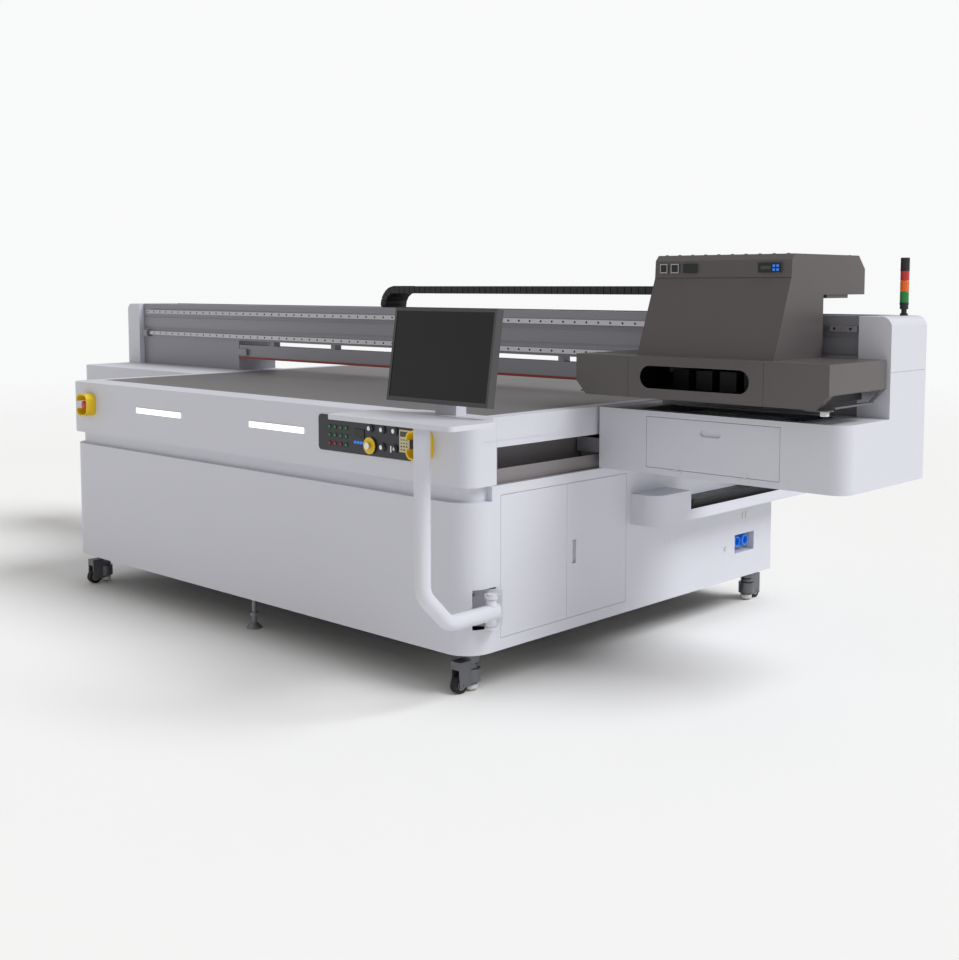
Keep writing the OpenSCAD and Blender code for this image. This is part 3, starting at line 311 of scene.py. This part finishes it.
def tube_along(path, radius, sides=40):
    """A round tube: circles of the radius square to the path at each of its points."""
    path = np.asarray(path, float)
    along = np.gradient(path, axis=0)
    along /= np.linalg.norm(along, axis=1)[:, None]
    side = np.tile([1.0, 0.0, 0.0], (len(path), 1))
    up = np.cross(along, side)
    angle = np.arange(sides) * 2 * np.pi / sides
    points = (path[:, None] + radius * (np.cos(angle)[None, :, None] * side[:, None]
                                        + np.sin(angle)[None, :, None] * up[:, None]))
    i, j = np.meshgrid(np.arange(len(path) - 1), np.arange(sides), indexing="ij")
    n = (j + 1) % sides
    quads = np.stack([i * sides + j, i * sides + n, (i + 1) * sides + n, (i + 1) * sides + j],
                     -1).reshape(-1, 4).tolist()
    quads.append(list(range(sides))[::-1])
    quads.append([(len(path) - 1) * sides + k for k in range(sides)])
    return place(points.reshape(-1, 3)), quads


# ---------------------------------------------------------------- carried-over CAD nodes

for node_name, material in {
        "base_frame": FRAME_STEEL, "front_panel": LIGHT_COAT, "front_fascia": LIGHT_COAT,
        "side_panels": LIGHT_COAT, "rear_panel": LIGHT_COAT, "side_caps": LIGHT_COAT,
        "vacuum_table": TABLE_PLATE, "rail_channels": CHANNEL_COAT, "y_rails": GROUND_STEEL,
        "vacuum_blower": CAST_ZINC, "electrical_cabinet": LIGHT_COAT, "ink_tanks": WHITE_PE,
        "cable_tray": LIGHT_COAT, "power_sockets": BLUE_ABS, "control_panel": PANEL_FILM,
        "stop_guards": YELLOW_ABS, "arm_bracket": LIGHT_COAT,
        "caster_front_right": CASTER_STEEL, "caster_front_left": CASTER_STEEL,
        "caster_rear_right": CASTER_STEEL, "caster_rear_left": CASTER_STEEL,
        "wheel_front_right": RUBBER, "wheel_front_left": RUBBER,
        "wheel_rear_right": RUBBER, "wheel_rear_left": RUBBER,
        "door_front": LIGHT_COAT, "door_rear": LIGHT_COAT,
        "push_button_1": CHROME, "push_button_2": CHROME, "push_button_3": CHROME,
        "push_button_4": CHROME, "panel_stop_button": CHROME, "key_switch": CHROME,
        "stop_button_right": RED_ABS, "stop_button_left": RED_ABS, "console_arm": LIGHT_COAT,
        "console_shelf": LIGHT_COAT, "monitor": BEZEL_ABS, "monitor_glass": BLACK_LCD,
        "gantry_beam": BEAM_ALLOY, "gantry_towers": LIGHT_COAT, "station_box": LIGHT_COAT,
        "left_box": LIGHT_COAT, "y_saddles": BEAM_ALLOY, "x_rails": GROUND_STEEL,
        "bridge_bar": BEAM_ALLOY, "safety_strip": RED_PAINT, "stack_light_mast": BLACK_NYLON,
        "stack_light_lenses": RED_ABS, "station_door": LIGHT_COAT, "capping_tray": GROUND_STEEL,
        "y_chain": BLACK_NYLON, "x_chain_loop": BLACK_NYLON, "x_chain_upper": BLACK_NYLON,
        "carriage_plate": GROUND_STEEL, "carriage_cover": DARK_COAT, "carriage_hood": DARK_COAT,
        "print_heads": DARK_MODULE, "uv_lamps": GUNMETAL, "front_lamps": LAMP_WHITE,
}.items():
    painted(node_name, material)

# ---------------------------------------------------------------- front lamps and controls

LIGHT_BARS = ((-2009, -1671), (-1193, -855))
LIGHT_EDGES = (835.5, 861.5)
rounded(piece("fascia_light_bars",
              *blocks([[x0, -4, 838.5] for x0, x1 in LIGHT_BARS],
                      [[x1, -0.2, 861.5] for x0, x1 in LIGHT_BARS]),
              "base", LAMP_WHITE, "lamp_white", replaces=["front_lamps"]), 1.2)
piece("fascia_light_frames",
      *blocks([[x0 - 3, -2, z0] for x0, x1 in LIGHT_BARS for z0 in LIGHT_EDGES],
              [[x1 + 3, 0.2, z0 + 3] for x0, x1 in LIGHT_BARS for z0 in LIGHT_EDGES]),
      "base", LIGHT_COAT, "light_coat")

LAMP_COLUMNS = [-700 + 30.7 * i for i in range(4)]
LAMP_LENS = [(0, 5.0), (3.0, 5.0), (4.5, 4.0), (5.2, 2.0)]
for name, material, spots in (
        ("panel_lamps_green", LAMP_GREEN,
         [[x, -3, z] for z in (849, 879) for x in LAMP_COLUMNS] + [[LAMP_COLUMNS[3], -3, 818]]),
        ("panel_lamps_red", LAMP_RED, [[x, -3, 818] for x in LAMP_COLUMNS[:3]])):
    piece(name, *turned(LAMP_LENS, spots, (0, -1, 0), 16), "base", material, "lamp_white",
          smooth=True)
piece("panel_lamp_bezels", *turned([(0, 8.0), (1.6, 8.0), (2.0, 7.4), (2.0, 5.4)],
                                   [[x, -3, z] for x in LAMP_COLUMNS for z in (818, 849, 879)],
                                   (0, -1, 0), 20), "base", BLACK_NYLON, "panel_black")

rounded(piece("panel_display", *blocks([-560, -6, 847], [-510, -3, 881]), "base", BLACK_LCD,
              "panel_black"), 1.0)
rounded(piece("panel_colour_keys",
              *blocks([[-566 + 16.5 * i, -5, 827] for i in range(4)],
                      [[-553 + 16.5 * i, -3, 837] for i in range(4)]),
              "base", LAMP_BLUE, "blue_plastic"), 0.8)
rounded(piece("keypad_body", *blocks([-324, -9, 817], [-273, -3, 896]), "base", BEIGE_ABS,
              "white_plastic"), 2.0)
piece("keypad_window", *blocks([-318, -9.6, 872], [-279, -8.6, 890]), "base", GREY_LCD,
      "panel_black")
for name, material, rows in (("green", LAMP_GREEN, (2, 3)), ("grey", GREY_LCD, (0, 1))):
    keys = [[-315 + 13.2 * i, -10.2, 824 + 11.5 * j] for i in range(3) for j in rows]
    rounded(piece(f"keypad_keys_{name}", *blocks(keys, np.array(keys) + [7, 1.6, 4.5]), "base",
                  material, "panel_black"), 0.7)

# Mushroom heads: a flared stem and a low dome.
MUSHROOM = [(-8, 9.0), (26, 9.0), (27, 14.0), (29, 18.0), (32, 19.0), (35, 18.2), (37, 15.0),
            (37.8, 9.0), (38, 3.0)]
for side, x in (("right", -208), ("left", -2399)):
    piece(f"stop_head_{side}", *turned(MUSHROOM, [x, 0, 851], (0, -1, 0), 40), f"{side}_stop",
          RED_ABS, "red_plastic", replaces=[f"stop_button_{side}"], smooth=True)

# ---------------------------------------------------------------- console arm

PIN_X, PIN_Y, ARM_Z = 30.0, 80.0, 296.0
POST_Y = -241.0
ARM_R, ARM_END_R = 27.0, 34.0


def arm_path():
    """Level run, arc, slant, arc, post: straight points joined by two arcs of 80 mm."""
    bend, reach = 80.0, 80.0 * math.tan(math.radians(22.5))
    low, high = np.array([-125.0, ARM_Z]), np.array([POST_Y, 412.0])
    turn = np.linspace(0, math.pi / 4, 9)
    first = np.stack([low[0] + reach - bend * np.sin(turn),
                      low[1] + bend * (1 - np.cos(turn))], 1)
    centre = np.array([high[0] + bend, high[1] + reach])
    second = centre + bend * np.stack([-np.cos(math.pi / 4 - turn), -np.sin(math.pi / 4 - turn)], 1)
    level = np.array([[y, ARM_Z] for y in (130.0, 124.0, 112.0, 100.0, 0.0, -60.0)])
    post = np.array([[POST_Y, z] for z in (500.0, 700.0, 900.0, 967.0)])
    side_view = np.concatenate([level, first, second, post])
    return np.insert(side_view, 0, PIN_X, axis=1)


arm_points, arm_faces = tube_along(arm_path(), ARM_R, 56)
# The inner end is turned to ARM_END_R about the hinge pin.
pin = place([PIN_X, PIN_Y, ARM_Z])
across = arm_points[:, 0] - pin[0]
end_limit = pin[1] + np.sqrt(np.maximum(0, (ARM_END_R * MM) ** 2 - across ** 2))
arm_points[:, 1] = np.minimum(arm_points[:, 1], end_limit)
piece("console_tube", arm_points, arm_faces, "console", LIGHT_COAT, "light_coat",
      replaces=["console_arm"], smooth=True)
piece("arm_sleeve", *turned([(0, 17.5), (1, 19), (94.2, 19), (95.2, 17.5)],
                            [PIN_X, PIN_Y, ARM_Z - 47.6],
                            (0, 0, 1), 40), "console", LIGHT_COAT, "light_coat", smooth=True)

# ---------------------------------------------------------------- cable chains

def chain_links(stations, tangents, normals, length, height, low_y, high_y):
    """A link at each station: a box of the chain's section set along its tangent."""
    half = CUBE - [0.5, 0.0, 0.5]
    points = (stations[:, None, :]
              + half[None, :, 0, None] * length * tangents[:, None, :]
              + half[None, :, 2, None] * height * normals[:, None, :])
    points[:, :, 1] = low_y + CUBE[None, :, 1] * (high_y - low_y)
    faces = CUBE_FACES[None] + 8 * np.arange(len(stations))[:, None, None]
    return place(points.reshape(-1, 3)), faces.reshape(-1, 4)


def straight(x0, x1, z, pitch):
    """Stations a pitch apart along X at height z."""
    count = int(abs(x1 - x0) / pitch)
    x = np.linspace(x0, x1, count * 2 + 1)[1::2]
    zero = np.zeros_like(x)
    return (np.stack([x, zero, zero + z], 1), np.tile([1.0, 0, 0], (count, 1)),
            np.tile([0, 0, 1.0], (count, 1)))


def round_bend(x, z, radius, count):
    """Stations round the left half of a circle, from its bottom to its top."""
    angle = np.pi * (np.arange(count) + 0.5) / count
    out = np.stack([-np.sin(angle), 0 * angle, -np.cos(angle)], 1)
    return (np.array([x, 0, z]) + radius * out,
            np.stack([-np.cos(angle), 0 * angle, np.sin(angle)], 1), out)


CHAIN_LOW, CHAIN_HIGH, CHAIN_R = 1217.4, 1373.4, 78
CHAIN_LEFT, CHAIN_FIXED = -1540, 325
LINK_PITCH = 34.0


def chain_piece(name, runs, body, replaces, pitch=LINK_PITCH):
    """Side plates with gaps between them, over a slimmer continuous belt of crossbars."""
    st, tg, nm = (np.concatenate(part) for part in zip(*runs))
    plates, faces = chain_links(st, tg, nm, pitch - 3.0, 33.5, 1098.5, 1235.5)
    core, core_faces = chain_links(st, tg, nm, pitch + 1.5, 28.0, 1101, 1233)
    points = np.concatenate([plates, core])
    return piece(name, points, np.concatenate([faces, core_faces + len(plates)]), body,
                 BLACK_NYLON, "black_plastic", replaces=replaces)


upper = chain_piece("x_chain_upper_links",
                    [straight(CHAIN_LEFT, CHAIN_FIXED, CHAIN_HIGH, LINK_PITCH)],
                    "carriage", ["x_chain_upper"])
chain_piece("x_chain_bend_links",
            [straight(205, CHAIN_LEFT, CHAIN_LOW, LINK_PITCH),
             round_bend(CHAIN_LEFT, CHAIN_LOW + CHAIN_R, CHAIN_R, 8)],
            "x_chain", ["x_chain_loop"])
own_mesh(upper)

# ---------------------------------------------------------------- gantry details

# Socket-head screws every 60 mm along both X rails.
screws = [[x, 992, z] for z in (1246, 1127) for x in np.arange(-3480, 860, 60)]
piece("x_rail_screws", *turned([(0, 4.6), (0.7, 4.6), (0.7, 2.6), (0.1, 2.4)], screws,
                               (0, -1, 0), 12), "gantry", BLACK_NYLON, "black_plastic")
piece("x_rail_end_stop", *blocks([[-3520, 985, 1107], [-3516, 981, 1112]],
                                 [[-3478, 1009, 1143], [-3482, 986, 1138]]),
      "gantry", CAST_ZINC, "steel")
# Signal tower: three ribbed lenses, with a dark collar between the cap and the stem.
LENS = [(0, 13.6)] + [(1.5 + 3.2 * i + d, r) for i in range(11)
                      for d, r in ((0, 15.0), (1.4, 15.0), (2.2, 14.4))] + [(38, 13.6)]
for i, (name, material) in enumerate((("green", SIGNAL_GREEN), ("amber", SIGNAL_AMBER),
                                      ("red", SIGNAL_RED))):
    piece(f"signal_lens_{name}", *turned(LENS, [948, 1163, 1334 + 38 * i], (0, 0, 1), 28),
          "gantry", material, "lens", replaces=["stack_light_lenses"] if i == 0 else (),
          smooth=True)
piece("signal_collar", *turned([(0, 14.4), (1, 15.4), (6, 15.4), (7, 14.4)],
                               [[948, 1163, 1441], [948, 1163, 1327]], (0, 0, 1), 28),
      "gantry", BLACK_NYLON, "black_plastic", smooth=True)

# ---------------------------------------------------------------- carriage details

BAND_Y = 747.0
INSTRUMENTS = ((230, 261), (276, 309), (328, 384), (628, 715))
piece("instrument_frames", *blocks([[x0, BAND_Y - 1.6, 1436] for x0, x1 in INSTRUMENTS[:2]],
                                   [[x1, BAND_Y + 0.2, 1468] for x0, x1 in INSTRUMENTS[:2]]),
      "carriage", GROUND_STEEL, "chrome")
piece("instrument_faces",
      *blocks([[x0 + 3, BAND_Y - 2.2, 1439] for x0, x1 in INSTRUMENTS[:2]]
              + [[x0, BAND_Y - 1.8, 1436] for x0, x1 in INSTRUMENTS[2:]],
              [[x1 - 3, BAND_Y - 1.2, 1465] for x0, x1 in INSTRUMENTS[:2]]
              + [[x1, BAND_Y + 0.2, 1468] for x0, x1 in INSTRUMENTS[2:]]),
      "carriage", BLACK_LCD, "panel_black")
piece("instrument_keys", *blocks([[x, BAND_Y - 3.0, z] for x in (684, 698) for z in (1441, 1454)],
                                 [[x + 9, BAND_Y - 1.5, z + 8] for x in (684, 698)
                                  for z in (1441, 1454)]),
      "carriage", LAMP_BLUE, "blue_plastic")
piece("instrument_scale", *blocks([638, BAND_Y - 2.4, 1446], [676, BAND_Y - 1.6, 1458]),
      "carriage", GREY_LCD, "panel_black")
# Joints between the sheets of the covers, as narrow dark gaps.
piece("cover_seams",
      *blocks([[211.5, 585.7, 1005], [750.5, 585.7, 1005], [205.5, 750.3, 1417.6]],
              [[212.5, 586.4, 1147], [751.5, 586.4, 1147], [750.5, 752.5, 1419.6]]),
      "carriage", BLACK_NYLON, "black_plastic")
piece("hood_screws", *turned([(0, 6.0), (1.6, 5.6), (2.4, 3.5)],
                             [[x, y, 1498] for x in np.arange(235, 730, 54) for y in (782, 1205)],
                             (0, 0, 1), 16), "carriage", CASTER_STEEL, "steel", smooth=True)
rounded(piece("carriage_end_brackets",
              *blocks([[-42, 640, 1008], [892, 598, 999], [958, 640, 1006], [905, 600, 1052]],
                      [[6, 668, 1014], [974, 640, 1003], [978, 900, 1012], [982, 604, 1056]]),
              "carriage", CASTER_STEEL, "steel"), 1.0)
rounded(piece("carriage_end_foot", *blocks([944, 604, 984], [966, 626, 1001]), "carriage",
              WHITE_PE, "white_plastic"), 2.0)

# ---------------------------------------------------------------- details of the right side

piece("socket_liner",
      *blocks([[-58, 1632, 251], [-55, 1632, 251], [-55, 1632, 334], [-55, 1632, 254],
               [-55, 1787, 254]],
              [[-55, 1790, 337], [-3.2, 1790, 254], [-3.2, 1790, 337],
               [-3.2, 1635, 334], [-3.2, 1790, 334]]),
      "base", LIGHT_COAT, "light_coat", replaces=["power_sockets"])
piece("mains_sockets", *turned([(0, 29), (7, 29), (8, 24), (37, 24), (40, 22), (40, 17.5),
                                (24, 16.5)], [[-55, 1679, 298], [-55, 1741, 298]],
                               (1, 0, 0), 36), "base", BLUE_ABS, "blue_plastic")
piece("socket_flanges", *turned([(0, 31), (3, 31), (4, 29.5)],
                                [[-34, 1679, 298], [-34, 1741, 298]], (1, 0, 0), 36),
      "base", BLUE_ABS, "blue_plastic")
piece("side_button", *turned([(0, 9), (2.4, 9), (3.2, 7.6), (5.6, 7.2), (6, 6)],
                             [0, 1561, 286], (1, 0, 0), 24), "base", CHROME, "chrome",
      smooth=True)
rounded(piece("side_latches", *blocks([[-0.4, 1690, 399], [-0.4, 1716, 399]],
                                      [[4, 1703, 425], [4, 1729, 425]]),
              "base", WHITE_PE, "white_plastic"), 1.5)
piece("knockouts", *turned([(-0.5, 17.5), (0.4, 17.5), (0.4, 16.4), (0.1, 16.2)],
                           [[0, 1135, 376], [0, 1213, 376]], (1, 0, 0), 32),
      "base", LIGHT_COAT, "light_coat")

# ---------------------------------------------------------------- casters and feet

CASTER_X, CASTER_Y = (-90, -2486), (105, 1880)
WHEEL_TRAIL, WHEEL_R, PLATE = 57, 31, 37.5
for name, x, y, s in (("front_right", CASTER_X[0], CASTER_Y[0], -1),
                      ("front_left", CASTER_X[1], CASTER_Y[0], -1),
                      ("rear_right", CASTER_X[0], CASTER_Y[1], 1),
                      ("rear_left", CASTER_X[1], CASTER_Y[1], 1)):
    piece(f"caster_pad_{name}", *turned([(0, 22.6), (0.8, 24.9), (17, 24.9), (20.6, 22)],
                                        [x, y, 5.8], (0, 0, 1), 36),
          f"swivel_{name}", WHITE_PE, "white_plastic", smooth=True)
    piece(f"wheel_disc_{name}",
          *turned([(0, 12.5), (0.6, 19), (1.2, 19), (1.6, 17.5), (1.6, 5)],
                  [x + 13, y + WHEEL_TRAIL * s, WHEEL_R], (1, 0, 0), 28),
          f"roller_{name}", CAST_ZINC, "steel", smooth=True)
piece("caster_plates",
      *blocks([[x - PLATE, y - PLATE, 139.3] for x in CASTER_X for y in CASTER_Y],
              [[x + PLATE, y + PLATE, 144.9] for x in CASTER_X for y in CASTER_Y]),
      "base", CHROME, "chrome")
FOOT = [(0, 32.4), (4, 32.4), (22, 14.6), (23, 9.6), (51.6, 9.6), (51.6, 17.4), (66.4, 17.4),
        (66.4, 9.6), (132.6, 9.6), (132.6, 17.4), (144.8, 17.4)]
piece("middle_feet", *turned(FOOT, [[-1288, 79, 0], [-1288, 1850, 0]], (0, 0, 1), 36),
      "base", CAST_ZINC, "steel")

# ---------------------------------------------------------------- floor and end

def fading_floor():
    """Pale matt floor that turns into the backdrop's own colour between 5 and 16 m away."""
    material = finish("pale_floor", "#F6F6F5", 0.75, tone=0.004, cloud_mm=2000.0)
    tree = material.node_tree
    nodes = {node.bl_idname: node for node in tree.nodes}
    span = add_node(tree, "ShaderNodeVectorMath",
                    links={"Vector": nodes["ShaderNodeTexCoord"].outputs["Object"]},
                    operation="LENGTH")
    far = add_node(tree, "ShaderNodeMapRange", {"From Min": 5.0, "From Max": 16.0},
                   {"Value": span.outputs["Value"]}, interpolation_type="SMOOTHSTEP")
    glow = add_node(tree, "ShaderNodeEmission", {"Color": BACKDROP})
    mix = add_node(tree, "ShaderNodeMixShader", links={"Fac": far.outputs["Result"]})
    tree.links.new(nodes["ShaderNodeBsdfPrincipled"].outputs["BSDF"], mix.inputs[1])
    tree.links.new(glow.outputs["Emission"], mix.inputs[2])
    tree.links.new(mix.outputs["Shader"], nodes["ShaderNodeOutputMaterial"].inputs["Surface"])
    return material


floor_mesh = bpy.data.meshes.new("studio_floor")
floor_mesh.from_pydata([(-400, -400, 0), (400, -400, 0), (400, 400, 0), (-400, 400, 0)], [],
                       [(0, 1, 2, 3)])
floor_mesh.materials.append(fading_floor())
studio_floor = bpy.data.objects.new("studio_floor", floor_mesh)
bpy.context.scene.collection.objects.link(studio_floor)
